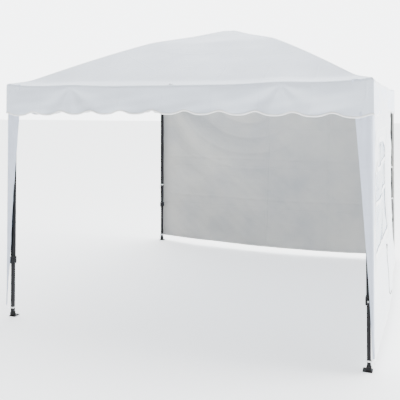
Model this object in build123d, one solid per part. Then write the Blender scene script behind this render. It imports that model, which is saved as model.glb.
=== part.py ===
from build123d import *

import math
import os

# Pop-up gazebo, 3 m square, on four telescopic legs. Millimetres, +Z up, origin on the ground at
# the centre. Everything is drawn once for the front right corner (+X, -Y) and turned by quarter
# turns: fr, rr, rl, fl. Each corner carries half of the truss on its own two sides.

# ---- driving dimensions -------------------------------------------------------------------------
EAVE_HALF = 1500.0          # half the canopy's side
EAVE_Z = 1955.0             # top edge of the eaves
PEAK_Z = 2530.0             # top of the roof cloth
VALANCE_DROP = 280.0        # depth of the skirt below the eaves
CLOTH = 1.0                 # thickness that stands for every cloth

LEG_AXIS = 1455.0           # leg axis from the centre, along X and along Y
LEG_OUTER = 30.0            # outer tube, square
LEG_INNER = 25.0            # inner tube, square
LEG_WALL = 1.0
LEG_OUTER_LOW_Z = 440.0
LEG_OUTER_TOP_Z = 1945.0
LEG_INNER_TOP_Z = 780.0

HIGH_PIVOT_Z = 1925.0       # truss pivots on the fixed brackets
LOW_PIVOT_Z = 1735.0        # truss pivots on the sliders
EAR_REACH = 75.0            # truss pivot from the leg axis
BAR_T = 10.0                # flat-sided bar, thickness
BAR_H = 20.0                # flat-sided bar, height
BAR_WALL = 1.0
LAYER = 5.5                 # bars lie in two layers, this far each side of the leg's centre plane

ROOF_EAR_REACH = 50.0       # roof arm pivot from the leg axis, towards the centre
HUB_PIVOT_R = 71.0          # roof arm pivot from the centre
OUTER_ARM_RISE = 587.0      # elbow above the slider's pivot
ROOF_RISE = 720.0           # hub's pivot above the slider's pivot
OUTER_ARM_RUN = 1175.0      # level distance from the slider's pivot to the elbow

PIN_R = 3.0
PIN_HOLE_R = 3.3
OPEN_PIN_HOLE_R = 6.5       # wider holes at the pivots where the linkage is left open
CHEEK_T = 3.0               # side plates of every bracket fork
CHEEK_GAP = 0.5
BUTTON_R = 6.0

CORNERS = ("fr", "rr", "rl", "fl")
SIDES = ("right", "rear", "left", "front")    # the side that follows each corner

os.makedirs("parts", exist_ok=True)

UP = Vector(0, 0, 1)
INWARD = Vector(-1, 1, 0).normalized()        # from the front right leg to the centre
NEXT = Vector(0, 1, 0)                        # along the right side
PREVIOUS = Vector(-1, 0, 0)                   # along the front side
NEXT_OUT = Vector(1, 0, 0)
PREVIOUS_OUT = Vector(0, -1, 0)
ARM_SIDE = INWARD.cross(UP)                   # across the roof arms
LEG = Vector(LEG_AXIS, -LEG_AXIS, 0)


def save(name, *solids, corner=0):
    """Writes the solids of one node, turned to its corner."""
    turned = [Rot(0, 0, 90 * corner) * solid for solid in solids]
    shape = turned[0] if len(turned) == 1 else Compound(children=turned)
    export_step(shape, f"parts/{name}.step")


def block(x, y, low, high, at=LEG):
    """An upright block between two heights, centred on a point."""
    return Pos(at.X, at.Y, (low + high) / 2) * Box(x, y, high - low)


def square_tube(size, wall, low, high):
    return block(size, size, low, high) - block(size - 2 * wall, size - 2 * wall, low - 1, high + 1)


def rod(centre, along, radius, length):
    """A round rod centred on a point."""
    return Plane(origin=centre, z_dir=along) * Cylinder(radius, length)


def bar(start, end, side, offset, holes):
    """A hollow flat-sided bar with round ends, between two pivots. Holes: (share of length, radius)."""
    run = end - start
    plane = Plane(origin=(start + end) * 0.5 + side * offset, x_dir=run, z_dir=side)
    outside = extrude(SlotCenterToCenter(run.length, BAR_H), BAR_T / 2, both=True)
    inside = extrude(
        SlotCenterToCenter(run.length, BAR_H - 2 * BAR_WALL), BAR_T / 2 - BAR_WALL, both=True
    )
    body = outside - inside
    for share, radius in holes:
        body -= Pos((share - 0.5) * run.length, 0, 0) * Cylinder(radius, 2 * BAR_T)
    return plane * body


def fork(root, pivot, side, offset):
    """The two side plates that carry one bar end, from a bracket out to the pivot, and its pin."""
    reach = pivot - root
    along = reach.normalized()
    plates = []
    for sign in (-1, 1):
        shift = offset + sign * (BAR_T / 2 + CHEEK_GAP + CHEEK_T / 2)
        plane = Plane(origin=root + side * shift, x_dir=along, z_dir=side)
        length = reach.length
        plate = Pos(length / 2, 0, 0) * Box(length, BAR_H, CHEEK_T)
        plate += Pos(length, 0, 0) * Cylinder(BAR_H / 2, CHEEK_T)
        plate -= Pos(length, 0, 0) * Cylinder(PIN_HOLE_R, 2 * CHEEK_T)
        plates.append(plane * plate)
    pin = rod(pivot + side * offset, side, PIN_R, BAR_T + 2 * CHEEK_GAP + 2 * CHEEK_T)
    return plates, pin


def join(body, *forks):
    """One bracket casting from a sleeve and its forks."""
    for plates, _ in forks:
        body = body + plates[0] + plates[1]
    return body


# ---- pivots of the front right corner -----------------------------------------------------------
high_next = LEG + NEXT * EAR_REACH + UP * HIGH_PIVOT_Z
low_next = LEG + NEXT * EAR_REACH + UP * LOW_PIVOT_Z
high_previous = LEG + PREVIOUS * EAR_REACH + UP * HIGH_PIVOT_Z
low_previous = LEG + PREVIOUS * EAR_REACH + UP * LOW_PIVOT_Z
mid_next = Vector(LEG_AXIS, 0, 0)
mid_previous = Vector(0, -LEG_AXIS, 0)
arm_foot = LEG + INWARD * ROOF_EAR_REACH + UP * LOW_PIVOT_Z
elbow = arm_foot + INWARD * OUTER_ARM_RUN + UP * OUTER_ARM_RISE
arm_head = INWARD * -HUB_PIVOT_R + UP * (LOW_PIVOT_Z + ROOF_RISE)

# ---- sizes of the bracket castings --------------------------------------------------------------
SLEEVE = 40.0
SLIDER_BORE = 31.0
SLIDER_H = 60.0
BRACKET_LOW_Z = 1895.0
BRACKET_TOP_Z = 1951.0
BRACKET_BORE = 30.6
COLLAR = 42.0
COLLAR_TOP_Z = 495.0
COLLAR_BORE = 30.4
BOSS = 20.0
BOSS_FACE = 27.0            # boss face from the leg axis
BUTTON_BACK = 19.5          # inner end of a button, from the leg axis
BUTTON_FACE = 31.5          # pressed end of a button, from the leg axis


def boss(height):
    """The raised square on a bracket's outer face that guides a push button, drilled through."""
    centre = LEG + PREVIOUS_OUT * (BOSS_FACE + SLEEVE / 2 - 2) / 2 + UP * height
    pad = Pos(centre.X, centre.Y, centre.Z) * Box(BOSS, BOSS_FACE - SLEEVE / 2 + 2, BOSS)
    drill = rod(LEG + PREVIOUS_OUT * SLEEVE / 2 + UP * height, PREVIOUS_OUT, BUTTON_R + 0.4, SLEEVE)
    return pad, drill & block(COLLAR, 4 * COLLAR, height - BOSS, height + BOSS, LEG + PREVIOUS_OUT * 99)


def button(height):
    """A push button with a domed end, standing out of its boss."""
    length = BUTTON_FACE - BUTTON_BACK
    stem = rod(LEG + PREVIOUS_OUT * (BUTTON_BACK + length / 2) + UP * height, PREVIOUS_OUT, BUTTON_R, length)
    return fillet(stem.edges().group_by(Axis.Y)[0], 2.0)


# ---- corner by corner ---------------------------------------------------------------------------
def leg_parts(corner, name):
    tube = square_tube(LEG_OUTER, LEG_WALL, LEG_OUTER_LOW_Z, LEG_OUTER_TOP_Z)
    collar = block(COLLAR, COLLAR, LEG_OUTER_LOW_Z, COLLAR_TOP_Z)
    collar = fillet(collar.edges().filter_by(Axis.Z), 4)
    height = (LEG_OUTER_LOW_Z + COLLAR_TOP_Z) / 2
    pad, drill = boss(height)
    collar = collar + pad - drill - block(COLLAR_BORE, COLLAR_BORE, LEG_OUTER_LOW_Z - 1, COLLAR_TOP_Z + 1)
    save(f"leg_outer_{name}", tube, collar, corner=corner)
    save(f"leg_button_{name}", button(height), corner=corner)

    sleeve = block(SLEEVE, SLEEVE, BRACKET_LOW_Z, BRACKET_TOP_Z)
    sleeve = fillet(sleeve.edges().filter_by(Axis.Z), 4)
    forks = (
        fork(LEG + UP * HIGH_PIVOT_Z + NEXT * SLEEVE / 4, high_next, NEXT_OUT, LAYER),
        fork(LEG + UP * HIGH_PIVOT_Z + PREVIOUS * SLEEVE / 4, high_previous, PREVIOUS_OUT, -LAYER),
    )
    casting = join(sleeve, *forks)
    casting -= block(BRACKET_BORE, BRACKET_BORE, BRACKET_LOW_Z - 1, LEG_OUTER_TOP_Z + 0.3)
    save(f"upper_bracket_{name}", casting, *[pin for _, pin in forks], corner=corner)

    foot_parts(corner, name)


FOOT = 66.0
FOOT_T = 5.0
FOOT_SHIFT = 12.0           # plate centre from the leg axis, towards the centre
PEG_HOLE_R = 5.0
PEG_HOLE_SHIFT = 38.0       # peg hole from the leg axis, towards the centre
SOCKET = 34.0
SOCKET_TOP_Z = 34.0
SOCKET_FLOOR_Z = 6.0


def foot_parts(corner, name):
    tube = square_tube(LEG_INNER, LEG_WALL, SOCKET_FLOOR_Z + 0.2, LEG_INNER_TOP_Z)
    save(f"leg_inner_{name}", tube, corner=corner)

    centre = LEG + INWARD * FOOT_SHIFT
    plate = block(FOOT, FOOT, 0, FOOT_T, centre)
    plate = fillet(plate.edges().filter_by(Axis.Z), 10)
    socket = block(SOCKET, SOCKET, 0, SOCKET_TOP_Z)
    socket = fillet(socket.edges().filter_by(Axis.Z), 4)
    hole = LEG + INWARD * PEG_HOLE_SHIFT
    foot = plate + socket
    foot -= block(LEG_INNER + 0.6, LEG_INNER + 0.6, SOCKET_FLOOR_Z, SOCKET_TOP_Z + 1)
    foot -= Pos(hole.X, hole.Y, 0) * Cylinder(PEG_HOLE_R, 4 * FOOT_T)
    save(f"foot_{name}", foot, corner=corner)


def slider_parts(corner, name):
    low, high = LOW_PIVOT_Z - SLIDER_H / 2, LOW_PIVOT_Z + SLIDER_H / 2
    sleeve = block(SLEEVE, SLEEVE, low, high)
    sleeve = fillet(sleeve.edges().filter_by(Axis.Z), 4)
    at = LEG + UP * LOW_PIVOT_Z
    forks = (
        fork(at + NEXT * SLEEVE / 4, low_next, NEXT_OUT, -LAYER),
        fork(at + PREVIOUS * SLEEVE / 4, low_previous, PREVIOUS_OUT, LAYER),
        fork(at + INWARD * SLEEVE / 4, arm_foot, ARM_SIDE, -LAYER),
    )
    pad, drill = boss(LOW_PIVOT_Z)
    casting = join(sleeve, *forks) + pad - drill
    casting -= block(SLIDER_BORE, SLIDER_BORE, low - 1, high + 1)
    save(f"slider_{name}", casting, *[pin for _, pin in forks], corner=corner)
    save(f"slider_button_{name}", button(LOW_PIVOT_Z), corner=corner)


def truss_parts(corner, name):
    """The crossed bars of the half side after the corner, and of the half side before it."""
    halves = (
        (SIDES[corner], high_next, low_next, mid_next, NEXT_OUT, 1),
        (SIDES[corner - 1], high_previous, low_previous, mid_previous, PREVIOUS_OUT, -1),
    )
    pin_length = 2 * (LAYER + BAR_T / 2)
    for side_name, high, low, mid, out, sign in halves:
        # The bar that hangs from the fixed bracket runs down to the middle of the side.
        mid_low, mid_high = mid + UP * LOW_PIVOT_Z, mid + UP * HIGH_PIVOT_Z
        pins = [rod((high + mid_low) * 0.5, out, PIN_R, pin_length)]
        middle_hole = PIN_HOLE_R if sign > 0 else OPEN_PIN_HOLE_R
        if sign > 0:
            pins.append(rod(mid_low, out, PIN_R, pin_length))
        holes = ((0, OPEN_PIN_HOLE_R if sign < 0 else PIN_HOLE_R), (0.5, PIN_HOLE_R), (1, middle_hole))
        beam = bar(high, mid_low, out, sign * LAYER, holes)
        save(f"{side_name}_bar_{name}_high", beam, *pins, corner=corner)
        # The bar that stands on the slider runs up to the middle of the side.
        pins = [rod(mid_high, out, PIN_R, pin_length)] if sign > 0 else []
        holes = ((0, PIN_HOLE_R), (0.5, PIN_HOLE_R), (1, middle_hole))
        beam = bar(low, mid_high, out, -sign * LAYER, holes)
        save(f"{side_name}_bar_{name}_low", beam, *pins, corner=corner)


def roof_arm_parts(corner, name):
    holes = ((0, PIN_HOLE_R), (1, PIN_HOLE_R))
    outer = bar(arm_foot, elbow, ARM_SIDE, -LAYER, holes)
    save(f"outer_arm_{name}", outer, corner=corner)
    inner = bar(elbow, arm_head, ARM_SIDE, LAYER, holes)
    pin = rod(elbow, ARM_SIDE, PIN_R, 2 * (LAYER + BAR_T / 2))
    save(f"inner_arm_{name}", inner, pin, corner=corner)


# ---- hub ----------------------------------------------------------------------------------------
HUB_R = 45.0
HUB_H = 36.0
HUB_CAP_R = 50.0
HUB_CAP_Z = 2500.0


def hub_part():
    height = arm_head.Z
    body = Pos(0, 0, height) * Cylinder(HUB_R, HUB_H)
    stem_top = HUB_CAP_Z - 12
    body += Pos(0, 0, (height + stem_top) / 2) * Cylinder(HUB_R / 2, stem_top - height)
    cap = Pos(0, 0, HUB_CAP_Z - 7) * Cylinder(HUB_CAP_R, 14)
    body += fillet(cap.edges().group_by(Axis.Z)[-1], 10)
    pins = []
    for corner in range(4):
        plates, pin = fork(INWARD * -HUB_R * 0.8 + UP * height, arm_head, ARM_SIDE, LAYER)
        turn = Rot(0, 0, 90 * corner)
        body = body + turn * plates[0] + turn * plates[1]
        pins.append(turn * pin)
    save("hub", body, *pins)


# ---- cloth --------------------------------------------------------------------------------------
SHOULDER_HALF, SHOULDER_Z = 1400.0, 1972.0
KNEE_HALF, KNEE_Z = 590.0, 2352.0
CROWN_HALF, CROWN_Z = 150.0, 2492.0
TOP_HALF = 60.0
DRAPE_TOP_W = 125.0
DRAPE_LOW_W = 34.0
DRAPE_LOW_Z = 95.0
DRAPE_FACE = EAVE_HALF - 2
WALL_FACE = EAVE_HALF - 5
WALL_HALF = EAVE_HALF - 10
WALL_LOW_Z = 30.0
WALL_TOP_Z = 1940.0


def roof_part():
    profile = (
        (EAVE_HALF, EAVE_Z), (SHOULDER_HALF, SHOULDER_Z), (KNEE_HALF, KNEE_Z),
        (CROWN_HALF, CROWN_Z), (TOP_HALF, PEAK_Z),
    )
    outside = loft([Pos(0, 0, z) * Rectangle(2 * half, 2 * half) for half, z in profile], ruled=True)
    save("canopy_roof", outside - Pos(0, 0, -CLOTH) * outside)


def valance_part():
    low, high = EAVE_Z - VALANCE_DROP, EAVE_Z - 0.2
    inside = 2 * (EAVE_HALF - CLOTH)
    ring = block(2 * EAVE_HALF, 2 * EAVE_HALF, low, high, Vector(0, 0, 0))
    save("valance", ring - block(inside, inside, low - 1, high + 1, Vector(0, 0, 0)))


def drape_part(corner, name):
    """The cloth that hangs down both outer faces of a leg and narrows to the foot."""
    top = EAVE_Z - 8
    outline = Polyline(
        (0, DRAPE_LOW_Z), (0, top), (-DRAPE_TOP_W, top), (-DRAPE_LOW_W, DRAPE_LOW_Z), close=True
    )
    front = extrude(Plane((DRAPE_FACE, -DRAPE_FACE, 0), x_dir=(1, 0, 0), z_dir=(0, -1, 0))
                    * make_face(outline), -CLOTH)
    side = extrude(Plane((DRAPE_FACE, -DRAPE_FACE, 0), x_dir=(0, -1, 0), z_dir=(-1, 0, 0))
                   * make_face(outline), CLOTH)
    save(f"drape_{name}", front + side, corner=corner)


def wall_parts():
    height = WALL_TOP_Z - WALL_LOW_Z
    middle = (WALL_TOP_Z + WALL_LOW_Z) / 2
    face = WALL_FACE - CLOTH / 2
    save("rear_wall", Pos(0, face, middle) * Box(2 * WALL_HALF, CLOTH, height))
    save("right_wall", Pos(face, 0, middle) * Box(CLOTH, 2 * WALL_HALF, height))


for index, corner_name in enumerate(CORNERS):
    leg_parts(index, corner_name)
    slider_parts(index, corner_name)
    truss_parts(index, corner_name)
    roof_arm_parts(index, corner_name)
hub_part()
roof_part()
valance_part()
drape_part(0, "fr")
drape_part(3, "fl")
wall_parts()
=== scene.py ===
import math

import bmesh
import bpy
import numpy as np
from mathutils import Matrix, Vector


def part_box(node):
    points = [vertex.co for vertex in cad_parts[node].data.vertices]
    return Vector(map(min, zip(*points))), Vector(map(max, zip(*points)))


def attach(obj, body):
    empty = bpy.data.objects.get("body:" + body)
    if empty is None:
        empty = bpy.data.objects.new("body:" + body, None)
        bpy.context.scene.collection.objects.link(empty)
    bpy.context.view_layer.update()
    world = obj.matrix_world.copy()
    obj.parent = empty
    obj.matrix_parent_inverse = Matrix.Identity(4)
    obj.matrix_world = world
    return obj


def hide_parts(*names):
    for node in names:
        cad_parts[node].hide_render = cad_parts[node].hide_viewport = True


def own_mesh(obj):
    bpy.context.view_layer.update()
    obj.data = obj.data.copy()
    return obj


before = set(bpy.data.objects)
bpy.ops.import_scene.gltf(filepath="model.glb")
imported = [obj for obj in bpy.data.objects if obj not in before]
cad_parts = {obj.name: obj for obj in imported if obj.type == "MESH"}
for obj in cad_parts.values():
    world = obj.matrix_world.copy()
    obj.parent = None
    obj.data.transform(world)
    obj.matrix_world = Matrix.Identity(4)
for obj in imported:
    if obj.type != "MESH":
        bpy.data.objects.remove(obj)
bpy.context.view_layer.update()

# ---- steel tubes and bars ------------------------------------------------------------------------
# The legs are square tubes, and the truss and roof arms are flat-sided bars. All are rolled steel
# with a satin black powder coat, which rubs a little thinner and duller where parts slide.
CORNERS = ("fr", "rr", "rl", "fl")
SIDES = ("right", "rear", "left", "front")
POWDER_COAT = (0.006, 0.006, 0.008, 1)
RUBBED_COAT = (0.03, 0.03, 0.034, 1)


def add(tree, kind, sockets=(), **settings):
    """A shader node with its settings, and its sockets set to values or linked to outputs."""
    made = tree.nodes.new(kind)
    for name, value in settings.items():
        setattr(made, name, value)
    for name, value in dict(sockets).items():
        if isinstance(value, bpy.types.NodeSocket):
            tree.links.new(value, made.inputs[name])
        else:
            made.inputs[name].default_value = value
    return made


def maths(tree, operation, *values):
    """The output of a maths node on one, two or three values."""
    return add(tree, "ShaderNodeMath", enumerate(values), operation=operation).outputs[0]


def effect(name, inputs, outputs):
    """An empty node group with named inputs (name, kind, value) and outputs (name, kind)."""
    group = bpy.data.node_groups.new(name, "ShaderNodeTree")
    for label, kind, value in inputs:
        socket = group.interface.new_socket(label, in_out="INPUT", socket_type=kind)
        socket.default_value = value
    for label, kind in outputs:
        group.interface.new_socket(label, in_out="OUTPUT", socket_type=kind)
    return group, group.nodes.new("NodeGroupInput").outputs, group.nodes.new("NodeGroupOutput").inputs


def rubbed_finish():
    """Colour, roughness and height of a coat that is speckled finely and rubbed in patches."""
    group, given, out = effect(
        "rubbed_finish",
        (("Coat", "NodeSocketColor", POWDER_COAT), ("Rubbed", "NodeSocketColor", RUBBED_COAT),
         ("Patch scale", "NodeSocketFloat", 6.0), ("Speckle scale", "NodeSocketFloat", 900.0),
         ("Rub", "NodeSocketFloat", 0.3), ("Smoothest", "NodeSocketFloat", 0.35),
         ("Roughest", "NodeSocketFloat", 0.6)),
        (("Colour", "NodeSocketColor"), ("Roughness", "NodeSocketFloat"), ("Height", "NodeSocketFloat")),
    )
    place = add(group, "ShaderNodeTexCoord").outputs["Object"]
    patches = add(group, "ShaderNodeTexNoise",
                  {"Vector": place, "Scale": given["Patch scale"], "Detail": 6.0, "Roughness": 0.65})
    speckle = add(group, "ShaderNodeTexNoise",
                  {"Vector": place, "Scale": given["Speckle scale"], "Detail": 2.0})
    patch = add(group, "ShaderNodeMapRange",
                {"Value": patches.outputs["Fac"], "From Min": 0.45, "From Max": 0.75}).outputs[0]
    rub = maths(group, "MULTIPLY", patch, given["Rub"])
    colour = add(group, "ShaderNodeMix", {0: rub, 6: given["Coat"], 7: given["Rubbed"]}, data_type="RGBA")
    rough = add(group, "ShaderNodeMapRange",
                {"Value": patches.outputs["Fac"], "From Min": 0.3, "From Max": 0.7,
                 "To Min": given["Smoothest"], "To Max": given["Roughest"]})
    group.links.new(colour.outputs[2], out["Colour"])
    group.links.new(rough.outputs[0], out["Roughness"])
    group.links.new(speckle.outputs["Fac"], out["Height"])
    return group


RUBBED_FINISH = rubbed_finish()


def finish_material(name, group, values, bump, distance, **shader):
    """A material whose colour, roughness and height come from one effect group."""
    material = bpy.data.materials.new(name)
    material.use_nodes = True
    tree = material.node_tree
    skin = tree.nodes["Principled BSDF"]
    for label, value in shader.items():
        skin.inputs[label.replace("_", " ")].default_value = value
    placed = add(tree, "ShaderNodeGroup", node_tree=group)
    for label, value in values.items():
        placed.inputs[label].default_value = value
    bumped = add(tree, "ShaderNodeBump",
                 {"Strength": bump, "Distance": distance, "Height": placed.outputs["Height"]})
    tree.links.new(placed.outputs["Colour"], skin.inputs["Base Color"])
    tree.links.new(placed.outputs["Roughness"], skin.inputs["Roughness"])
    tree.links.new(bumped.outputs[0], skin.inputs["Normal"])
    return material


def dress(nodes, material):
    """Gives CAD nodes a material."""
    for node in nodes:
        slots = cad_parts[node].data.materials
        slots.clear()
        slots.append(material)


powder_coated_steel = finish_material(
    "powder_coated_steel", RUBBED_FINISH, {"Patch scale": 9.0, "Smoothest": 0.42, "Roughest": 0.62},
    0.25, 0.0003, Specular_IOR_Level=0.22,
)
STEEL_STARTS = ("leg_outer", "leg_inner", "outer_arm", "inner_arm")
dress([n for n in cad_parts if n.startswith(STEEL_STARTS) or "_bar_" in n], powder_coated_steel)

# ---- moulded castings ----------------------------------------------------------------------------
# Hub, brackets, sliders and feet are injection moulded in black glass-filled nylon, a little
# duller than the tubes, with the fine spark texture of the mould.
moulded_nylon = finish_material(
    "moulded_nylon", RUBBED_FINISH,
    {"Coat": (0.01, 0.01, 0.011, 1), "Rubbed": (0.04, 0.04, 0.04, 1), "Patch scale": 14.0,
     "Speckle scale": 500.0, "Smoothest": 0.5, "Roughest": 0.72},
    0.4, 0.0004, Specular_IOR_Level=0.25,
)
CASTING_STARTS = ("slider_f", "slider_r", "upper_bracket", "foot_", "hub")
dress([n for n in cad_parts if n.startswith(CASTING_STARTS)], moulded_nylon)

# ---- push buttons --------------------------------------------------------------------------------
# Each slider and each leg collar has a pale grey acetal button, which is glossier than the castings.
button_acetal = finish_material(
    "button_acetal", RUBBED_FINISH,
    {"Coat": (0.6, 0.62, 0.64, 1), "Rubbed": (0.45, 0.46, 0.47, 1), "Patch scale": 40.0,
     "Smoothest": 0.22, "Roughest": 0.38},
    0.1, 0.0002,
)
dress([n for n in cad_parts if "_button_" in n], button_acetal)

# ---- roof cloth ----------------------------------------------------------------------------------
# The roof is coated white polyester, stretched over the hub, the four elbows and the four corner
# brackets. The cloth slackens between them, and its four panels meet at seams on the hips. Each
# corner's quarter lies on its two arms and its bracket, and gathers on them when folded.
UP = np.array((0, 0, 1))
CLOTH_T = 0.0008
EAVE_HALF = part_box("valance")[1].x
EAVE_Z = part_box("canopy_roof")[0].z
PEAK_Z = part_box("canopy_roof")[1].z
HUB_TOP_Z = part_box("hub")[1].z
ELBOW_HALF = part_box("outer_arm_fr")[0].x + 0.008    # about where the elbow's pivot is
ELBOW_TOP_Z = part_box("outer_arm_fr")[1].z
BRACKET_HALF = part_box("upper_bracket_fr")[1].x
BRACKET_TOP_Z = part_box("upper_bracket_fr")[1].z
BRACKET_START = BRACKET_HALF - 0.11
# Half side and height of the cloth at each place that holds it up along a hip.
HIP_LINE = (
    (0, PEAK_Z - 0.002), (0.05, HUB_TOP_Z + 0.022), (0.12, HUB_TOP_Z - 0.002),
    (ELBOW_HALF, ELBOW_TOP_Z + 0.016),
    (BRACKET_START, BRACKET_TOP_Z + 0.03), (BRACKET_HALF, BRACKET_TOP_Z + 0.006), (EAVE_HALF, EAVE_Z),
)
HIP_SOFTNESS = 0.035        # half the stretch that the hip's line is averaged over
EDGE_R = 0.022              # how sharply the cloth turns down over the eave
EDGE_START = math.radians(18)
EAVE_SAG = 0.032
TRUSS_AT = 0.58             # share of the half side where the truss below lifts the cloth
TRUSS_REACH = 0.15
TRUSS_LIFT = 0.013
HIP_CROWN = 0.022           # how far the slack cloth arches over the straight line between supports
PANEL_SAG = 0.022
PEAK_CREASE = 0.0025        # height of the shallow rings of creases round the peak
PEAK_CREASE_AT = 0.27
PEAK_CREASE_REACH = 0.1
PEAK_CREASE_LENGTH = 0.06
TAUT_REACH = 0.12           # how far from a hip or an eave the cloth is still taut
ROOF_UNEVEN = 0.007
HIP_SEAM = 0.0015           # height of the seam along a hip
HIP_SEAM_HALF = 0.006
ARM_BAND = 2 * ELBOW_HALF   # half side where the cloth on the arms ends and the eave's begins


def ripple(x, y, seed, longest, count=7):
    """Soft unevenness: a sum of sine waves in seeded directions, each shorter and lower, within 1."""
    rng = np.random.default_rng(seed)
    total = np.zeros(np.broadcast(x, y).shape)
    share = 0.0
    for step in range(count):
        turn, phase = rng.uniform(0, 2 * np.pi, 2)
        wave = 2 * np.pi / longest * 1.45**step
        height = 0.72**step
        total += height * np.sin(wave * (x * np.cos(turn) + y * np.sin(turn)) + phase)
        share += height
    return total / share


def hip_height(s):
    """Height of the cloth over a hip at half side s: straight between the places that hold it up,
    averaged so that it bends softly, and arched from half way up the inner arm to the bracket."""
    halves, heights = zip(*HIP_LINE)
    spread = np.linspace(-HIP_SOFTNESS, HIP_SOFTNESS, 9)
    line = np.mean([np.interp(np.abs(s + d), halves, heights) for d in spread], axis=0)
    arch = np.clip((s - ELBOW_HALF / 2) / (BRACKET_START - ELBOW_HALF / 2), 0, 1)
    return line + HIP_CROWN * np.sin(np.pi * arch)


def eave_sag(t):
    """How far the eave hangs below its corners. t is 0 at the middle of a side and 1 at a corner,
    and the truss below holds the cloth up a little between the two."""
    return EAVE_SAG * (1 - t**6) - TRUSS_LIFT * np.exp(-(((t - TRUSS_AT) / TRUSS_REACH) ** 2))


def turned(points, corner):
    """Points turned about the upright axis by a quarter turn for each corner."""
    quarter = np.array(((0, -1, 0), (1, 0, 0), (0, 0, 1)), float)
    return points @ np.linalg.matrix_power(quarter, corner).T


def roof_points(p, tau, corner):
    """One corner's quarter of the roof. p is the distance out from the peak along X or Y, and past
    the eave it goes round the edge. tau is -1 at the middle of the side before the corner, 0 on
    the hip and 1 at the middle of the side after it. The cloth is the hip's height less a sag
    between the hips, with a soft unevenness and shallow creases round the peak."""
    straight = EAVE_HALF - EDGE_R * (1 - math.sin(EDGE_START))
    over = np.clip((p - straight) / EDGE_R, 0, math.pi / 2 - EDGE_START) + EDGE_START
    s = np.minimum(p, straight) + EDGE_R * (np.sin(over) - math.sin(EDGE_START))
    x = s * np.minimum(1, 1 + tau)
    y = -s * np.minimum(1, 1 - tau)
    t = 1 - np.abs(tau)
    z = hip_height(np.minimum(s, straight)) - EDGE_R * (math.cos(EDGE_START) - np.cos(over))
    z = z - PANEL_SAG * (1 - t**2) * np.sin(np.pi * np.clip(s / EAVE_HALF, 0, 1)) ** 2
    z = z - eave_sag(t) * (s / EAVE_HALF) ** 4
    z = z + (PEAK_CREASE * (1 - t**2) * np.exp(-(((s - PEAK_CREASE_AT) / PEAK_CREASE_REACH) ** 2))
             * np.cos(2 * np.pi * s / PEAK_CREASE_LENGTH))
    from_hip = (1 - t) * s
    points = turned(np.stack([x, y, z], -1), corner)
    slack = 1 - np.exp(-((from_hip / TAUT_REACH) ** 2))
    slack = slack * np.clip((EAVE_HALF - s) / TAUT_REACH, 0, 1)
    points[..., 2] += ROOF_UNEVEN * slack * ripple(points[..., 0], points[..., 1], seed=3, longest=1.1)
    points[..., 2] += HIP_SEAM * np.exp(-((from_hip / HIP_SEAM_HALF) ** 2))
    return points


def sheet_mesh(name, points, closed=False, keep=None):
    """A mesh from a grid of points, with a UV map in metres along the grid. closed joins the last
    row to the first, and keep is a mask of the faces that stay."""
    rows, columns = points.shape[:2]
    index = np.arange(rows * columns).reshape(rows, columns)
    if closed:
        index = np.vstack([index, index[:1]])
    faces = np.stack([index[:-1, :-1], index[:-1, 1:], index[1:, 1:], index[1:, :-1]], -1)
    faces = faces[keep] if keep is not None else faces.reshape(-1, 4)
    mesh = bpy.data.meshes.new(name)
    mesh.from_pydata(points.reshape(-1, 3).tolist(), [], faces.tolist())
    down = np.linalg.norm(np.diff(points, axis=0), axis=2).cumsum(0)
    across = np.linalg.norm(np.diff(points, axis=1), axis=2).cumsum(1)
    u = np.hstack([np.zeros((rows, 1)), across])
    v = np.vstack([np.zeros((1, columns)), down])
    corners = np.empty(len(mesh.loops), np.int64)
    mesh.loops.foreach_get("vertex_index", corners)
    uv = np.stack([u.ravel(), v.ravel()], -1)[corners]
    mesh.uv_layers.new(name="UVMap").data.foreach_set("uv", uv.astype(np.float32).ravel())
    mesh.shade_smooth()
    made = bpy.data.objects.new(name, mesh)
    bpy.context.scene.collection.objects.link(made)
    return made


def tidy(piece, closed=True):
    """Merges doubles, drops what that leaves without area, keeps free edges sharp, and turns the
    faces of a closed piece outwards."""
    work = bmesh.new()
    work.from_mesh(piece.data)
    bmesh.ops.remove_doubles(work, verts=work.verts, dist=1e-6)
    bmesh.ops.dissolve_degenerate(work, edges=work.edges, dist=1e-7)
    loose = [v for v in work.verts if not v.link_faces]
    bmesh.ops.delete(work, geom=loose, context="VERTS")
    for edge in work.edges:
        edge.smooth = not edge.is_boundary
    if closed:
        bmesh.ops.recalc_face_normals(work, faces=work.faces)
    work.to_mesh(piece.data)
    work.free()


def tube(name, points, material):
    """A closed piece of one material, from a grid of points whose last row joins the first."""
    made = sheet_mesh(name, points, closed=True)
    tidy(made)
    made.data.materials.append(material)
    return made


def face_along(piece, direction):
    """Turns a sheet over if most of it faces against a direction."""
    mesh = piece.data
    normals = np.empty(len(mesh.polygons) * 3)
    mesh.polygons.foreach_get("normal", normals)
    if (normals.reshape(-1, 3) @ np.array(direction)).sum() < 0:
        mesh.flip_normals()


def area_of(piece):
    """Area of one side of a sheet."""
    areas = np.empty(len(piece.data.polygons))
    piece.data.polygons.foreach_get("area", areas)
    return float(areas.sum())


def cloth_piece(name, points, material, direction, keep=None):
    """One sheet of cloth, faced and thickened inwards. Its area is measured but not used."""
    piece = sheet_mesh(name, points, keep=keep)
    tidy(piece, closed=False)
    face_along(piece, direction)
    piece.data.materials.append(material)
    area = area_of(piece)
    thick = piece.modifiers.new("cloth", "SOLIDIFY")
    thick.thickness = CLOTH_T
    thick.offset = -1
    return piece


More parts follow.
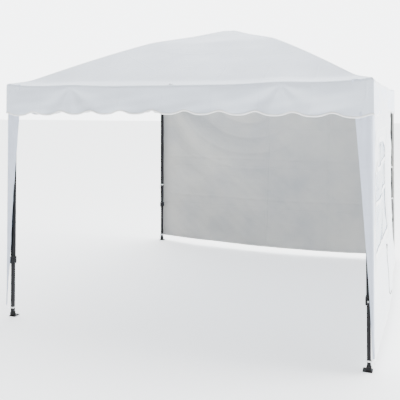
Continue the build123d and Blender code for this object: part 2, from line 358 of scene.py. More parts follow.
def woven_cloth():
    """Colour, roughness and height of coated cloth: threads, wrinkles and the creases it was
    packed in. The colour has a random mottle and painted shade along the creases. Thread, crease
    and wrinkle lengths are in metres along the cloth."""
    group, given, out = effect(
        "woven_cloth",
        (("Cloth", "NodeSocketColor", (0.8, 0.82, 0.85, 1)),
         ("Mottle and crease shade", "NodeSocketColor", (0.7, 0.72, 0.76, 1)),
         ("Thread", "NodeSocketFloat", 0.0014), ("Crease across", "NodeSocketFloat", 0.37),
         ("Crease down", "NodeSocketFloat", 0.31), ("Crease depth", "NodeSocketFloat", 0.5),
         ("Wrinkle", "NodeSocketFloat", 0.5), ("Roughness", "NodeSocketFloat", 0.55)),
        (("Colour", "NodeSocketColor"), ("Roughness", "NodeSocketFloat"), ("Height", "NodeSocketFloat")),
    )
    place = add(group, "ShaderNodeTexCoord").outputs["Object"]
    unrolled = add(group, "ShaderNodeUVMap", uv_map="UVMap").outputs[0]
    along = add(group, "ShaderNodeSeparateXYZ", {0: unrolled})
    wander = add(group, "ShaderNodeTexNoise",
                 {"Vector": place, "Scale": 3.0, "Detail": 3.0}).outputs["Fac"]
    rate = maths(group, "DIVIDE", 2 * math.pi, given["Thread"])
    threads = [maths(group, "SINE", maths(group, "MULTIPLY", along.outputs[k], rate)) for k in (0, 1)]
    weave = maths(group, "MULTIPLY", threads[0], threads[1])
    creases = []
    for k, spacing in ((0, given["Crease across"]), (1, given["Crease down"])):
        moved = maths(group, "ADD", along.outputs[k], maths(group, "MULTIPLY", wander, 0.05))
        away = maths(group, "PINGPONG", moved, maths(group, "MULTIPLY", spacing, 0.5))
        ridge = add(group, "ShaderNodeMapRange",
                    {"Value": away, "From Min": 0.0, "From Max": 0.012, "To Min": 1.0, "To Max": 0.0},
                    interpolation_type="SMOOTHSTEP")
        creases.append(ridge.outputs[0])
    crease = maths(group, "MULTIPLY", maths(group, "MAXIMUM", *creases), given["Crease depth"])
    wrinkles = add(group, "ShaderNodeTexNoise",
                   {"Vector": place, "Scale": 7.0, "Detail": 5.0, "Roughness": 0.45, "Distortion": 0.8})
    wrinkle = maths(group, "MULTIPLY", wrinkles.outputs["Fac"], given["Wrinkle"])
    fine = maths(group, "MULTIPLY", weave, 0.02)
    height = maths(group, "ADD", fine, maths(group, "ADD", crease, wrinkle))
    # The colour goes towards the second colour in random patches, which are the cloth's own mottle, and
    # along the creases, which is painted shade.
    mottle_and_crease_shade = add(group, "ShaderNodeMapRange",
               {"Value": maths(group, "ADD", wander, maths(group, "MULTIPLY", crease, 0.25)),
                "From Min": 0.35, "From Max": 0.8})
    colour = add(group, "ShaderNodeMix", {0: mottle_and_crease_shade.outputs[0], 6: given["Cloth"], 7: given["Mottle and crease shade"]},
                 data_type="RGBA")
    rough = maths(group, "ADD", given["Roughness"], maths(group, "MULTIPLY", wander, 0.12))
    group.links.new(colour.outputs[2], out["Colour"])
    group.links.new(rough, out["Roughness"])
    group.links.new(height, out["Height"])
    return group


WOVEN_CLOTH = woven_cloth()
roof_polyester = finish_material(
    "roof_polyester", WOVEN_CLOTH,
    {"Cloth": (0.78, 0.84, 0.93, 1), "Mottle and crease shade": (0.71, 0.77, 0.87, 1), "Crease depth": 0.35, "Wrinkle": 0.7},
    0.5, 0.006, Sheen_Weight=0.15,
)


def to_row(vector, corner):
    """A direction or place turned to a corner, as plain numbers."""
    return tuple(float(c) for c in turned(np.array(vector, float), corner))


def arm_points(start, end, corner):
    """The cloth on one arm: rows square to the hip, as far out along X plus Y as the row's place,
    and as wide as the quarter allows, so that it ends in a point at the peak or at the corner."""
    reach, share = np.meshgrid(np.linspace(start, end, 56), np.linspace(-1, 1, 81), indexing="ij")
    width = share * np.minimum(reach, 2 * ARM_BAND - reach)
    out_x, out_y = (reach + width) / 2, (reach - width) / 2
    p = np.maximum(out_x, out_y)
    tau = np.sign(width) * (1 - np.minimum(out_x, out_y) / np.maximum(p, 1e-9))
    return roof_points(p, tau, corner)


def eave_points(low_tau, high_tau, corner):
    """Half a corner's length of the eave: rows along the eave, closer where it turns down, and
    columns closer to the hip, where the cloth bends most."""
    across_the_edge = EAVE_HALF - EDGE_R + EDGE_R * math.pi / 2 * np.linspace(0.15, 1, 7)
    p = np.append(np.linspace(ARM_BAND, EAVE_HALF - EDGE_R, 16), across_the_edge)
    half = 1 - (1 - np.linspace(0, 1, 40)) ** 1.5
    taus = np.concatenate([half - 1, (1 - half)[::-1][1:]])
    taus = taus[(taus >= low_tau - 1e-9) & (taus <= high_tau + 1e-9)]
    return roof_points(*np.meshgrid(p, taus, indexing="ij"), corner)


for corner, name in enumerate(CORNERS):
    for arm, start, end in (("inner", 0, ARM_BAND), ("outer", ARM_BAND, 2 * ARM_BAND)):
        cloth = cloth_piece(f"roof_{arm}_{name}", arm_points(start, end, corner), roof_polyester, UP)
        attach(cloth, f"{arm}_arm_{name}")
        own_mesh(cloth)
        if name == "fr" and arm == "inner":
            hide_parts("canopy_roof")
    halves = ((SIDES[corner - 1], -1, 0, (1, 0, 0)), (SIDES[corner], 0, 1, (0, 1, 0)))
    for side, low_tau, high_tau, along in halves:
        cloth = cloth_piece(f"roof_eave_{side}_{name}", eave_points(low_tau, high_tau, corner),
                            roof_polyester, UP)
        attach(cloth, f"leg_{name}")
        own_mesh(cloth)

# ---- valance -------------------------------------------------------------------------------------
# The skirt hangs from the eave and is sewn to it. Its lower edge is cut in eleven scallops on each
# side and bound with a bright white tape.
SCALLOPS = 11
SCALLOP_DEPTH = 0.0135
VALANCE_LOW_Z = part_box("valance")[0].z + 0.004
VALANCE_LIFT = 0.022        # the middle of each side hangs this much higher
EDGE_DROP = EDGE_R * math.cos(EDGE_START)
SKIRT_DROP = 0.2            # about how far below the eave the free edge is
SKIRT_UNEVEN = 0.011        # how far the loose cloth stands out of its plane
SKIRT_CREASE = 0.006
LOBE_CURL = 0.002
PIPING_HALF_WIDTH = 0.0075
PIPING_HALF_THICK = 0.0035
PIPING_RISE = 0.004         # how far the piping's middle is above the cut edge
REARWARDS = np.array((0, 1, 0))


def eave_line(x):
    """Height where the roof's edge has turned upright, along one side."""
    t = np.abs(x) / EAVE_HALF
    return float(hip_height(np.array(EAVE_HALF - EDGE_R * 0.7))) - EDGE_DROP - eave_sag(t)


def scallop_line(x):
    """Height of the lower edge: a wave with wide round lobes and narrower rises between them."""
    wave = 2 * np.pi * x * SCALLOPS / (2 * EAVE_HALF)
    lift = VALANCE_LIFT * (1 - (x / EAVE_HALF) ** 2)
    return VALANCE_LOW_Z + 0.002 + lift + SCALLOP_DEPTH * (0.85 - np.cos(wave) + 0.18 * np.cos(2 * wave))


def pull_folds(across, down, waves, reach):
    """Folds that fan out from the point where cloth is held: a sine of the angle round that point,
    highest at one reach from it."""
    away = np.hypot(across, down)
    return np.sin(waves * np.arctan2(down, across)) * away / reach * np.exp(1 - away / reach)


def billow(x, drop, seed):
    """How far the skirt stands out of its plane, 0 at the eave and more towards the free edge."""
    soft = ripple(x, drop * 2.5, seed, longest=0.8, count=5)
    fallen = drop / SKIRT_DROP
    lobes = np.cos(2 * np.pi * x * SCALLOPS / (2 * EAVE_HALF))
    corner_hold = np.clip((EAVE_HALF - np.abs(x)) / 0.15, 0, 1)
    creases = SKIRT_CREASE * pull_folds(np.abs(x) - TRUSS_AT * EAVE_HALF, drop, waves=7, reach=0.3)
    free = SKIRT_UNEVEN * soft * np.sqrt(np.clip(fallen, 0, 1)) + LOBE_CURL * lobes * fallen**2
    return corner_hold * (free + creases)


def valance_points(x, share, seed):
    """The skirt of the front side: share is 0 at the eave and 1 at the scalloped edge."""
    top, low = eave_line(x), scallop_line(x)
    z = top + (low - top) * share
    return np.stack([x, -EAVE_HALF - billow(x, top - z, seed), z], -1)


def carried(path, side, up, half_width, half_thick, count=10):
    """A flattened oval carried along a path: the points of a closed tube, one row for each angle."""
    angle = np.linspace(0, 2 * np.pi, count, endpoint=False)[:, None, None]
    return path[None] + half_width * np.sin(angle) * up + half_thick * np.cos(angle) * side


binding_tape = finish_material(
    "binding_tape", WOVEN_CLOTH,
    {"Cloth": (0.97, 0.97, 0.97, 1), "Mottle and crease shade": (0.94, 0.94, 0.95, 1), "Thread": 0.0022,
     "Crease depth": 0.0, "Wrinkle": 0.2, "Roughness": 0.5},
    0.3, 0.001, Sheen_Weight=0.1,
)

for turn in range(4):
    side = SIDES[turn - 1]
    for low_x, high_x, corner in ((0, EAVE_HALF, turn), (-EAVE_HALF, 0, (turn - 1) % 4)):
        name = CORNERS[corner]
        x = np.linspace(low_x, high_x, 150)
        seed = 20 + turn
        points = turned(valance_points(*np.meshgrid(x, np.linspace(0, 1, 22)), seed), turn)
        edge = valance_points(x, np.ones_like(x), seed) + PIPING_RISE * UP
        tape = carried(edge, REARWARDS, UP, PIPING_HALF_WIDTH, PIPING_HALF_THICK)
        piping = tube(f"valance_piping_{side}_{name}", turned(tape, turn), binding_tape)
        outwards = to_row((0, -1, 0), turn)
        skirt = cloth_piece(f"valance_{side}_{name}", points, roof_polyester, outwards)
        for cloth in (skirt, piping):
            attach(cloth, f"leg_{name}")
            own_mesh(cloth)
        if name == "fr" and side == "front":
            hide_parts("valance")

# ---- front leg covers ----------------------------------------------------------------------------
# Each front leg has a strip of the canopy's cloth folded round its outer corner. It hangs from the
# bracket inside the skirt, tapers to the foot and is only held there, so it ripples a little. Its
# colour is the canopy's cloth painted darker and bluer, as painted shade.
COVER_LOW_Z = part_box("drape_fr")[0].z + 0.004
COVER_TOP_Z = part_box("drape_fr")[1].z
COVER_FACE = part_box("drape_fr")[1].x - 0.0015
COVER_FOOT_WIDTH = 0.012
COVER_GROWTH = 0.105        # added width at COVER_RISE above the foot end
COVER_RISE = 1.58
COVER_CORNER_R = 0.012
COVER_PLEAT = 0.004
COVER_PLEAT_LENGTH = 0.062
COVER_UNEVEN = 0.004
COVER_CURL = 0.008          # how far the free edges curl inwards below the skirt
COVER_CURL_TOP_Z = 1.7
COVER_HEM_INSET = 0.004
COVER_HEM_HALF = 0.006
COVER_HEM_HALF_THICK = 0.0014


def cover_points(a, z):
    """A strip bent round an upright corner. a is -1 at its front edge, 0 on the corner and 1 at
    its side edge. The two faces meet in a hyperbola, and the folds stand out from them."""
    width = COVER_FOOT_WIDTH + COVER_GROWTH * (np.clip(z - COVER_LOW_Z, 0, None) / COVER_RISE) ** 1.25
    d = a * width
    bend = np.sqrt(d**2 + COVER_CORNER_R**2)
    ease = np.clip(np.abs(d) / 0.03, 0, 1) * np.clip((z - COVER_LOW_Z) / 0.25, 0, 1)
    wander = 1.2 * np.sin(2.3 * z)
    fold = COVER_PLEAT * np.sin(2 * np.pi * np.abs(d) / COVER_PLEAT_LENGTH + wander + 0.6)
    fold = fold + COVER_UNEVEN * ripple(z * 1.3, d * 6, seed=5, longest=0.5, count=5)
    fold = fold - COVER_CURL * np.abs(a) ** 4 * (z < COVER_CURL_TOP_Z)
    lean = (1 + d / bend) / 2
    x = COVER_FACE - (bend - d) / 2 + lean * ease * fold
    y = -COVER_FACE + (bend + d) / 2 - (1 - lean) * ease * fold
    return np.stack([x, y, z], -1)


# Painted shade: the canopy's cloth is coloured darker and bluer than on the roof, as it looks in shade
# under the eave.
shaded_cover_cloth = finish_material(
    "shaded_cover_cloth", WOVEN_CLOTH,
    {"Cloth": (0.68, 0.74, 0.86, 1), "Mottle and crease shade": (0.6, 0.66, 0.8, 1), "Crease depth": 0.3, "Wrinkle": 0.7},
    0.5, 0.005, Sheen_Weight=0.15,
)

for name in ("fr", "fl"):
    corner = CORNERS.index(name)
    rows = np.linspace(COVER_TOP_Z, COVER_LOW_Z, 150)
    a, z = np.meshgrid(np.linspace(-1, 1, 41), rows)
    points = turned(cover_points(a, z), corner)
    outwards = to_row((1, -1, 0), corner)
    hems = []
    for hand, place, face, inward in ((-1, "before", (0, -1, 0), (1, 0, 0)),
                                      (1, "after", (1, 0, 0), (0, -1, 0))):
        edge = cover_points(np.full_like(rows, hand), rows) + COVER_HEM_INSET * np.array(inward)
        hem = carried(edge, np.array(face), np.array(inward), COVER_HEM_HALF, COVER_HEM_HALF_THICK)
        hems.append(tube(f"leg_cover_hem_{name}_{place}", turned(hem, corner), shaded_cover_cloth))
    cover = cloth_piece(f"leg_cover_{name}", points, shaded_cover_cloth, outwards)
    for cloth in (cover, *hems):
        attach(cloth, f"leg_{name}")
    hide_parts(f"drape_{name}")

# ---- rear wall -----------------------------------------------------------------------------------
# The rear wall is one loose width of lighter, matt polyester with a seam down the middle. It hangs
# from the frame inside the skirt, sags in swags, and its hem bellies in between the legs. The cloth
# is white, and its warm grey colour, on the hem and seam too, is painted shade from the roof.
WALL_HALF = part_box("rear_wall")[1].x
WALL_TOP_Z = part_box("rear_wall")[1].z
WALL_HEM_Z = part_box("rear_wall")[0].z + 0.03
CLEAR_OF_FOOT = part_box("foot_rr")[0].y - 0.005
REAR_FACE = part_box("rear_wall")[1].y
REAR_BELLY = 0.16
REAR_UNEVEN = 0.014
REAR_CREASE = 0.0035
PULL_LEFT = 0.02            # height of the folds that fan out from each upper corner
PULL_RIGHT = 0.013
SWAG_DEPTH = 0.026
SWAG_LENGTH = 0.19
SWAG_REACH = 0.75
SWAG_X = -0.25              # the swags hang round this place on the top edge
HEM_WIDTH = 0.025
HEM_HALF_THICK = 0.0018
SEAM_HALF_WIDTH = 0.011
SEAM_HALF_THICK = 0.003


def packing_creases(x, z, places_x, places_z, width=0.012):
    """Sharp narrow ridges along the lines where the cloth was folded for packing, within 1."""
    lines = [np.exp(-(((x - at) / width) ** 2)) for at in places_x]
    lines += [np.exp(-(((z - at) / width) ** 2)) for at in places_z]
    return np.sum(lines, axis=0)


def rear_points(x, z):
    """The rear wall: a belly that grows towards the hem, pull folds from the two upper corners,
    swags round the middle of the top, packing creases and soft unevenness."""
    down = WALL_TOP_Z - z
    v = down / (WALL_TOP_Z - WALL_HEM_Z)
    u = np.clip(np.abs(x) / CLEAR_OF_FOOT, 0, 1)
    hold = 1 - u**8
    depth = REAR_BELLY * (1 - u**2.2) * v**1.7
    depth = depth + PULL_LEFT * hold * pull_folds(x + WALL_HALF, down, waves=11, reach=0.75)
    depth = depth + PULL_RIGHT * hold * pull_folds(WALL_HALF - x, down, waves=9, reach=0.7)
    ring = np.hypot((x - SWAG_X) * 0.8, down)
    swag = np.abs(np.sin(np.pi * ring / SWAG_LENGTH)) ** 0.8
    fading = np.exp(-((ring / SWAG_REACH) ** 2))
    depth = depth + SWAG_DEPTH * hold * swag * fading * np.clip(v / 0.08, 0, 1)
    depth = depth + REAR_UNEVEN * hold * ripple(x, z * 1.6, seed=12, longest=1.3) * (0.3 + v)
    depth = depth - REAR_CREASE * hold * packing_creases(x, z, (0.76,), (1.11, 0.62))
    low = WALL_HEM_Z + 0.012 * ripple(x, 0 * x, seed=14, longest=1.5, count=4)
    y = REAR_FACE - 0.004 - np.clip(depth, -0.004, None)
    return np.stack([x, y, np.maximum(z, WALL_HEM_Z) + (low - WALL_HEM_Z) * v**6], -1)


# Painted shade: the wall's white cloth is coloured a warm grey, as it looks in the shade under the roof.
shaded_wall_polyester = finish_material(
    "shaded_wall_polyester", WOVEN_CLOTH,
    {"Cloth": (0.49, 0.48, 0.45, 1), "Mottle and crease shade": (0.4, 0.4, 0.4, 1), "Crease across": 0.75,
     "Crease down": 0.49, "Crease depth": 0.1, "Wrinkle": 0.9, "Roughness": 0.6},
    0.8, 0.01, Sheen_Weight=0.1,
)


def spaced(low, high, step):
    """Evenly spaced values from low to high, about a step apart."""
    return np.linspace(low, high, round((high - low) / step) + 1)


down_rows = spaced(WALL_TOP_Z, WALL_HEM_Z, -0.014)
for name, low_x, high_x in (("rl", -WALL_HALF, 0), ("rr", 0, WALL_HALF)):
    x, z = np.meshgrid(spaced(low_x, high_x, 0.012), down_rows)
    points = rear_points(x, z)
    run = rear_points(x[0], np.full_like(x[0], WALL_HEM_Z)) + HEM_WIDTH / 2 * UP
    hem = carried(run, REARWARDS, UP, HEM_WIDTH / 2, HEM_HALF_THICK)
    strips = [tube(f"rear_wall_hem_{name}", hem, shaded_wall_polyester)]
    if name == "rr":
        run = rear_points(np.zeros_like(down_rows), down_rows)
        seam = carried(run, REARWARDS, np.array((1, 0, 0)), SEAM_HALF_WIDTH, SEAM_HALF_THICK)
        strips.append(tube("rear_wall_seam", seam, shaded_wall_polyester))
    wall = cloth_piece(f"rear_wall_{name}", points, shaded_wall_polyester, (0, 1, 0))
    for cloth in (wall, *strips):
        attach(cloth, f"leg_{name}")
        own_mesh(cloth)
    if name == "rr":
        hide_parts("rear_wall")

# ---- right wall ----------------------------------------------------------------------------------
# The right wall is coated white cloth, laced up in small gathers, and its rear end is drawn inside
# the rear leg. In its front half a patch is sewn in, with an arched window of clear film behind
# sewn tapes.
RIGHT_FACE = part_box("right_wall")[1].x
RIGHT_END_Y = CLEAR_OF_FOOT
RIGHT_FLARE = 0.035
RIGHT_UNEVEN = 0.009
RIGHT_CREASE = 0.003
RIGHT_PULL = 0.011
DRAWN_IN = 0.055            # how far in the rear end is drawn, from DRAWN_FROM_Y on
DRAWN_FROM_Y = 0.2
GATHER_DEPTH = 0.006
GATHER_LENGTH = 0.085
GATHER_REACH = 0.25
WINDOW_Y = -0.7
WINDOW_HALF = 0.55
WINDOW_LOW_Z = 0.7
WINDOW_SPRING_Z = 1.2
WINDOW_RISE = 0.31
MUNTIN_HEIGHTS = (1.07, 1.31)
PATCH_MARGIN = 0.075        # how far the sewn patch reaches past the window
SURROUND_HALF_WIDTH = 0.024
MUNTIN_HALF_WIDTH = 0.017
PATCH_TAPE_HALF_WIDTH = 0.006
TAPE_STEP = 0.025
FILM_LAP = 0.006            # how far the film reaches behind the tape
FILM_INSET = 0.0025
OUT = np.array((1, 0, 0))


def right_points(y, z):
    """The right wall: a flare towards the hem, gathers under its laced top edge, pull folds from
    its upper corners, packing creases and soft unevenness."""
    down = WALL_TOP_Z - z
    v = down / (WALL_TOP_Z - WALL_HEM_Z)
    u = y / WALL_HALF
    hold = 1 - np.abs(u) ** 10
    drawn_in = np.clip((y - DRAWN_FROM_Y) / (RIGHT_END_Y - DRAWN_FROM_Y), 0, 1) ** 2 * (1 - v**4)
    out = RIGHT_FLARE * (1 - u**2) * v**3 - DRAWN_IN * drawn_in
    gathers = np.sin(2 * np.pi * y / GATHER_LENGTH + 2 * np.sin(5 * y))
    out = out + GATHER_DEPTH * hold * gathers * np.exp(-down / GATHER_REACH)
    out = out + RIGHT_PULL * hold * pull_folds(y + WALL_HALF, down, waves=8, reach=0.6)
    out = out + RIGHT_PULL * hold * pull_folds(WALL_HALF - y, down, waves=10, reach=0.8)
    out = out + RIGHT_UNEVEN * hold * ripple(y, z * 1.4, seed=31, longest=0.9)
    out = out + RIGHT_CREASE * hold * packing_creases(y, z, (-0.05, 0.7), (0.55, 1.16))
    return np.stack([RIGHT_FACE - 0.003 + out, y, z], -1)


def window_top(y):
    """Height of the window's outline: half an ellipse standing on the spring line."""
    across = np.clip((y - WINDOW_Y) / WINDOW_HALF, -1, 1)
    return WINDOW_SPRING_Z + WINDOW_RISE * np.sqrt(1 - across**2)


def on_wall(y, z, proud):
    """Points on the right wall, or standing proud of it."""
    return right_points(y, z) + proud * OUT


def tape_on_wall(name, y, z, half_width, proud=0.001, half_thick=0.0012, material=binding_tape):
    """A flat tape sewn on along a line on the wall. Its width lies in the wall, square to the line."""
    y, z = np.broadcast_arrays(np.asarray(y, float), z)
    path = on_wall(y, z, proud)
    along = np.gradient(path, axis=0)
    along = along / np.linalg.norm(along, axis=1, keepdims=True)
    sideways = np.cross(OUT, along)
    return tube(name, carried(path, OUT, sideways, half_width, half_thick), material)


def window_tapes():
    """The tape round the window, its sill, post and rails, and the four edges of the patch."""
    sweep = WINDOW_Y + WINDOW_HALF * np.cos(np.pi * (1 - np.linspace(0, 1, 60)))[1:-1]
    upright = spaced(WINDOW_LOW_Z, WINDOW_SPRING_Z, TAPE_STEP)
    sill_y = spaced(WINDOW_Y - WINDOW_HALF, WINDOW_Y + WINDOW_HALF, TAPE_STEP)
    post_z = spaced(WINDOW_LOW_Z, WINDOW_SPRING_Z + WINDOW_RISE, TAPE_STEP)
    outline_y = np.concatenate([np.full_like(upright, WINDOW_Y - WINDOW_HALF), sweep,
                                np.full_like(upright, WINDOW_Y + WINDOW_HALF)])
    outline_z = np.concatenate([upright, window_top(sweep), upright[::-1]])
    tapes = [tape_on_wall("window_surround", outline_y, outline_z, SURROUND_HALF_WIDTH),
             tape_on_wall("window_sill", sill_y, WINDOW_LOW_Z, SURROUND_HALF_WIDTH),
             tape_on_wall("window_post", WINDOW_Y, post_z, MUNTIN_HALF_WIDTH, proud=0.0016)]
    for number, height in enumerate(MUNTIN_HEIGHTS, 1):
        rail_y = sill_y[window_top(sill_y) > height]
        tapes.append(tape_on_wall(f"window_rail_{number}", rail_y, height, MUNTIN_HALF_WIDTH,
                                  proud=0.002))
    patch_y = spaced(sill_y[0] - PATCH_MARGIN, sill_y[-1] + PATCH_MARGIN, TAPE_STEP)
    patch_z = spaced(WINDOW_LOW_Z - PATCH_MARGIN, post_z[-1] + PATCH_MARGIN, TAPE_STEP)
    for edge, y, z in (("top", patch_y, patch_z[-1]), ("bottom", patch_y, patch_z[0]),
                       ("front", patch_y[0], patch_z), ("rear", patch_y[-1], patch_z)):
        tapes.append(tape_on_wall(f"window_patch_{edge}", y, z, PATCH_TAPE_HALF_WIDTH))
    return tapes


coated_wall = finish_material(
    "coated_wall", WOVEN_CLOTH,
    {"Cloth": (0.88, 0.9, 0.92, 1), "Mottle and crease shade": (0.8, 0.83, 0.87, 1), "Crease across": 0.7,
     "Crease down": 0.6, "Crease depth": 0.5, "Wrinkle": 1.0, "Roughness": 0.34},
    0.6, 0.007, Sheen_Weight=0.05,
)

for name, low_y, high_y in (("fr", -WALL_HALF, 0), ("rr", 0, RIGHT_END_Y)):
    y, z = np.meshgrid(spaced(low_y, high_y, 0.012), down_rows)
    middle_y = (y[1:, 1:] + y[:-1, :-1]) / 2
    middle_z = (z[1:, 1:] + z[:-1, :-1]) / 2
    glazed = (np.abs(middle_y - WINDOW_Y) < WINDOW_HALF) & (middle_z > WINDOW_LOW_Z)
    glazed = glazed & (middle_z < window_top(middle_y))
    strips = [tape_on_wall(f"right_wall_hem_{name}", y[0], WALL_HEM_Z + HEM_WIDTH / 2, HEM_WIDTH / 2,
                           proud=0)]
    if name == "fr":
        strips.extend(window_tapes())
    wall = cloth_piece(f"right_wall_{name}", on_wall(y, z, 0), coated_wall, (1, 0, 0),
                       keep=~glazed)
    soft = [wall, *strips]
    if name == "fr":
        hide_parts("right_wall")
        p, q = np.meshgrid(np.linspace(-1, 1, 61), np.linspace(0, 1, 51))
        pane_y = WINDOW_Y + (WINDOW_HALF + FILM_LAP) * p
        pane_z = WINDOW_LOW_Z + (window_top(pane_y) - WINDOW_LOW_Z) * q
        clear_film = bpy.data.materials.new("clear_film")
        clear_film.use_nodes = True
        skin = clear_film.node_tree.nodes["Principled BSDF"]
        skin.inputs["Base Color"].default_value = (0.72, 0.83, 0.95, 1)
        skin.inputs["Roughness"].default_value = 0.12
        skin.inputs["IOR"].default_value = 1.45
        skin.inputs["Transmission Weight"].default_value = 0.55
        pane = cloth_piece("window_film", on_wall(pane_y, pane_z, -FILM_INSET), clear_film, (1, 0, 0))
        soft.append(pane)
    for cloth in soft:
        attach(cloth, f"leg_{name}")
        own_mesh(cloth)

# ---- zip -----------------------------------------------------------------------------------------
# A black nylon coil zip on a dark tape closes the flap below the window. It runs down from its
# slider and then curves back to the middle of the wall, just above the hem.
ZIP_TOP = (-0.36, 0.6)
ZIP_END = (-0.012, 0.11)
zip_tape_dark = finish_material(
    "zip_tape_dark", WOVEN_CLOTH,
    {"Cloth": (0.05, 0.05, 0.055, 1), "Mottle and crease shade": (0.035, 0.035, 0.04, 1), "Crease depth": 0.0,
     "Wrinkle": 0.1},
    0.4, 0.001,
)
passed = np.linspace(0, 1, 120)
zip_y = ZIP_TOP[0] + (ZIP_END[0] - ZIP_TOP[0]) * passed**3
zip_z = ZIP_TOP[1] + (ZIP_END[1] - ZIP_TOP[1]) * (1 - (1 - passed) ** 2)
slider_z = np.linspace(0, -0.013, 8) + ZIP_TOP[1]
pull_z = np.linspace(ZIP_TOP[1], ZIP_TOP[1] - 0.034, 14)
zip_pieces = [
    tape_on_wall("zip_tape", zip_y, zip_z, 0.0055, material=zip_tape_dark),
    tape_on_wall("zip_coil", zip_y, zip_z, 0.002, proud=0.0024, material=zip_tape_dark),
    tape_on_wall("zip_slider", ZIP_TOP[0], slider_z, 0.0042, 0.0045, 0.0028, moulded_nylon),
    tape_on_wall("zip_pull", ZIP_TOP[0], pull_z, 0.003, 0.008, 0.001, moulded_nylon),
]
for piece in zip_pieces:
    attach(piece, "leg_fr")
    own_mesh(piece)

# ---- ties ----------------------------------------------------------------------------------------
# The walls and the covers are tied to the legs with white polyester tape: one turn round the tube,
# a small knot, and on the rear legs two short tails.
LEG_AXIS = (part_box("leg_outer_fr")[0].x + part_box("leg_outer_fr")[1].x) / 2
OUTER_TUBE_HALF = 0.015
LOWER_TUBE_HALF = 0.0125
LEG_TRAVEL = 0.36
LOW_TIE_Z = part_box("leg_outer_fr")[0].z - LEG_TRAVEL - 0.01    # clear of the tube when shortened
TIE_HALF_WIDTH = 0.006
TIE_HALF_THICK = 0.0007
KNOT_HALF = (0.007, 0.005, 0.008)
TAIL_HALF_WIDTH = 0.005
TAIL_SPREAD = 0.014
TAIL_DROP = 0.055
# Each tie's leg, height, half side of the tube that it goes round, and whether it has tails.
TIES = (("rl", 0.73, OUTER_TUBE_HALF, True), ("rl", LOW_TIE_Z, LOWER_TUBE_HALF, True),
        ("rr", 1.07, OUTER_TUBE_HALF, True), ("rr", 0.71, OUTER_TUBE_HALF, True),
        ("fr", LOW_TIE_Z, LOWER_TUBE_HALF, False), ("fl", LOW_TIE_Z, LOWER_TUBE_HALF, False))


def squared_ring(half, turns):
    """A square with round corners: a ring pushed out by the eighth power of cosine and sine."""
    c, s = np.cos(turns), np.sin(turns)
    reach = half / (np.abs(c) ** 8 + np.abs(s) ** 8) ** 0.125
    return np.stack([reach * c, reach * s, 0 * c], -1), np.stack([c, s, 0 * c], -1)


def knot_points(centre, along, outwards):
    """An ellipsoid with its axes along the tube's face, out from it and up."""
    circle, rise = np.meshgrid(np.linspace(0, 2 * np.pi, 19)[:-1], np.linspace(-np.pi / 2, np.pi / 2, 11))
    knot = (np.cos(rise) * np.cos(circle))[..., None] * along * KNOT_HALF[0]
    knot = knot + (np.cos(rise) * np.sin(circle))[..., None] * outwards * KNOT_HALF[1]
    knot = knot + (np.sin(rise) * KNOT_HALF[2])[..., None] * UP
    return centre + knot.transpose(1, 0, 2)


for number, (name, height, half, tails) in enumerate(TIES, 1):
    corner = CORNERS.index(name)
    centre = np.array(to_row((LEG_AXIS, -LEG_AXIS, 0), corner)) + (0, 0, height)
    outwards = np.array(to_row((1, 0, 0) if name in ("rl", "fr") else (0, -1, 0), corner))
    along = np.cross(UP, outwards)
    ring, away = squared_ring(half + 0.0012, np.linspace(0, 2 * np.pi, 61))
    knot_at = centre + (half + 0.005) * outwards
    parts = [(f"tie_{name}_{number}", centre + carried(ring, away, UP, TIE_HALF_WIDTH, TIE_HALF_THICK)),
             (f"tie_knot_{name}_{number}", knot_points(knot_at, along, outwards))]
    if tails:
        fall = np.linspace(0, 1, 16)[:, None]
        for hand, place in ((-1, "left"), (1, "right")):
            tail = knot_at + hand * along * (0.004 + TAIL_SPREAD * fall)
            tail = tail + outwards * 0.006 * np.sin(fall * 2.5) - UP * TAIL_DROP * fall**1.3
            parts.append((f"tie_tail_{name}_{number}_{place}",
                          carried(tail, outwards, along, TAIL_HALF_WIDTH, TIE_HALF_THICK)))
    for label, points in parts:
        piece = tube(label, points, binding_tape)
        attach(piece, f"leg_{name}" if half == OUTER_TUBE_HALF else f"lower_leg_{name}")

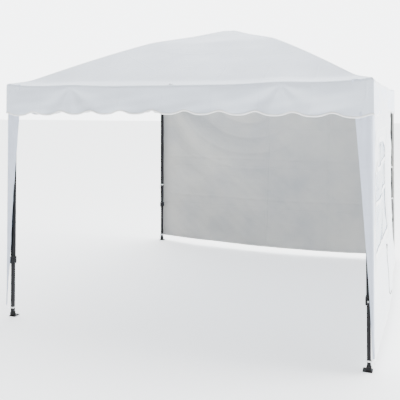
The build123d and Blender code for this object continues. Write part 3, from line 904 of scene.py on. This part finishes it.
# ---- studio --------------------------------------------------------------------------------------
# The gazebo stands on a pale floor that runs on to the background, under one broad lamp from the
# right and a pale sky that is brighter overhead and towards the rear.
BACKGROUND = (0.9, 0.91, 0.915, 1)
bpy.ops.mesh.primitive_plane_add(size=120)
floor = bpy.context.object
floor.name = "studio_floor"
floor_paint = bpy.data.materials.new("floor_paint")
floor_paint.use_nodes = True
paint = floor_paint.node_tree.nodes["Principled BSDF"]
paint.inputs["Base Color"].default_value = BACKGROUND
paint.inputs["Roughness"].default_value = 0.9
paint.inputs["Emission Color"].default_value = (1, 1, 1, 1)
paint.inputs["Emission Strength"].default_value = 1.0
floor.data.materials.append(floor_paint)

sky = bpy.data.worlds.new("sky")
bpy.context.scene.world = sky
sky.use_nodes = True
towards = add(sky.node_tree, "ShaderNodeSeparateXYZ",
              {0: add(sky.node_tree, "ShaderNodeTexCoord").outputs["Generated"]})
to_rear = add(sky.node_tree, "ShaderNodeMapRange",
              {"Value": towards.outputs["Y"], "From Min": -0.35, "From Max": 0.45,
               "To Min": 0.04, "To Max": 6.0},
              interpolation_type="SMOOTHSTEP").outputs[0]
overhead = add(sky.node_tree, "ShaderNodeMapRange",
               {"Value": towards.outputs["Z"], "From Min": 0.35, "From Max": 0.9,
                "To Min": 0.0, "To Max": 0.8},
               interpolation_type="SMOOTHSTEP").outputs[0]
sky_light = sky.node_tree.nodes["Background"]
sky_light.inputs["Color"].default_value = (0.965, 0.985, 1, 1)
sky.node_tree.links.new(maths(sky.node_tree, "ADD", to_rear, overhead), sky_light.inputs["Strength"])


def lamp(name, place, aim, size, power):
    """A square area lamp at a place, turned towards a point."""
    light = bpy.data.lights.new(name, "AREA")
    light.size = size
    light.energy = power
    made = bpy.data.objects.new(name, light)
    made.location = place
    made.rotation_euler = (Vector(aim) - Vector(place)).to_track_quat("-Z", "Y").to_euler()
    bpy.context.scene.collection.objects.link(made)


lamp("broad_lamp", place=(9, 1.5, 6.5), aim=(0, 0, 1.4), size=5, power=1500)

view = bpy.data.cameras.new("view")
view.sensor_width = 36
view.lens = 50.73
view.shift_x = -0.0348
view.shift_y = -0.26
camera = bpy.data.objects.new("view", view)
camera.location = (1.798, -5.365, 1.757)
camera.rotation_euler = (math.pi / 2 + 0.02, 0, 0.3536)
bpy.context.scene.collection.objects.link(camera)
bpy.context.scene.camera = camera
